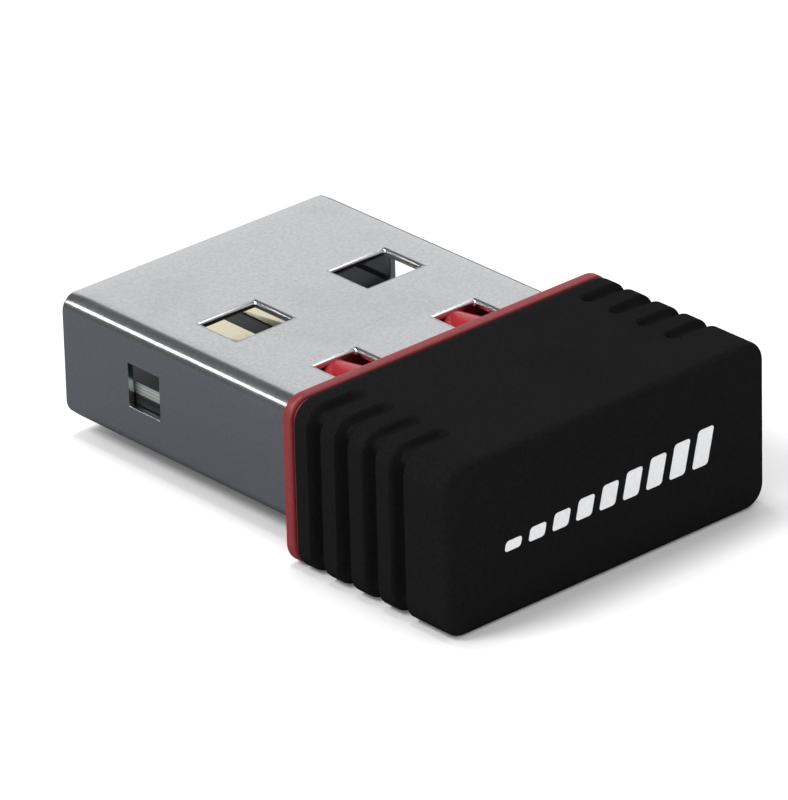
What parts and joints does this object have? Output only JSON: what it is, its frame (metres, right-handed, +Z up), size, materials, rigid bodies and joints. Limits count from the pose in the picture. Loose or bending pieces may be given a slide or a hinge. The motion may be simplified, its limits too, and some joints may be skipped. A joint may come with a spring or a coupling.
{
  "type": "nano usb wifi adapter",
  "caption": "Nano USB wifi adapter: folded steel plug with latch windows, thin red collar, grooved black cap, and a circuit board with radio parts inside.",
  "frame": {"origin": "on the plug's axis, in the collar face that stops against the socket", "axes": "+Y along the plug, in the direction of insertion; +X across the plug's width; +Z up, away from the tongue side, with the contacts facing +Z"},
  "size_m": [0.0142, 0.0202, 0.006],
  "materials": {
    "nickel_plate": "satin nickel plate on folded sheet steel",
    "red_plastic": "moulded red plastic, semi-gloss",
    "black_cap": "moulded black plastic with a fine matt texture",
    "black_insulator": "moulded black insulator",
    "board_laminate": "glass-fibre laminate with dark green solder mask",
    "gold_plate": "thin gold plate on copper",
    "copper_trace": "copper under solder mask",
    "chip_resin": "moulded epoxy, fine matt",
    "solder_tin": "tinned, slightly dull",
    "crystal_ceramic": "fired ceramic, matt",
    "crystal_metal": "plated kovar lid",
    "ferrite_ceramic": "sintered ferrite, matt",
    "capacitor_ceramic": "fired ceramic, satin",
    "resistor_glaze": "glazed resistor face",
    "antenna_ceramic": "white low-loss ceramic"
  },
  "bodies": {
    "root": {"plug_shell": "nickel_plate", "collar": "red_plastic", "tongue_support": "black_insulator", "housing_cap": "black_cap", "circuit_board": "board_laminate", "contact_vbus": "gold_plate", "contact_data_minus": "gold_plate", "contact_data_plus": "gold_plate", "contact_ground": "gold_plate", "usb_traces": "copper_trace", "wifi_chip": "chip_resin", "wifi_chip_pads": "solder_tin", "crystal_base": "crystal_ceramic", "crystal_lid": "crystal_metal", "regulator_body": "chip_resin", "regulator_leads": "solder_tin", "esd_protection": "chip_resin", "esd_leads": "solder_tin", "power_inductor": "ferrite_ceramic", "inductor_terminals": "solder_tin", "ferrite_bead": "ferrite_ceramic", "ferrite_bead_terminals": "solder_tin", "bulk_capacitors": "capacitor_ceramic", "bulk_capacitor_terminals": "solder_tin", "bypass_capacitors": "capacitor_ceramic", "bypass_capacitor_terminals": "solder_tin", "resistors": "resistor_glaze", "resistor_terminals": "solder_tin", "rf_filter": "antenna_ceramic", "rf_filter_terminals": "solder_tin", "chip_antenna": "antenna_ceramic", "antenna_terminals": "solder_tin", "antenna_feed": "copper_trace"}
  },
  "joints": []
}
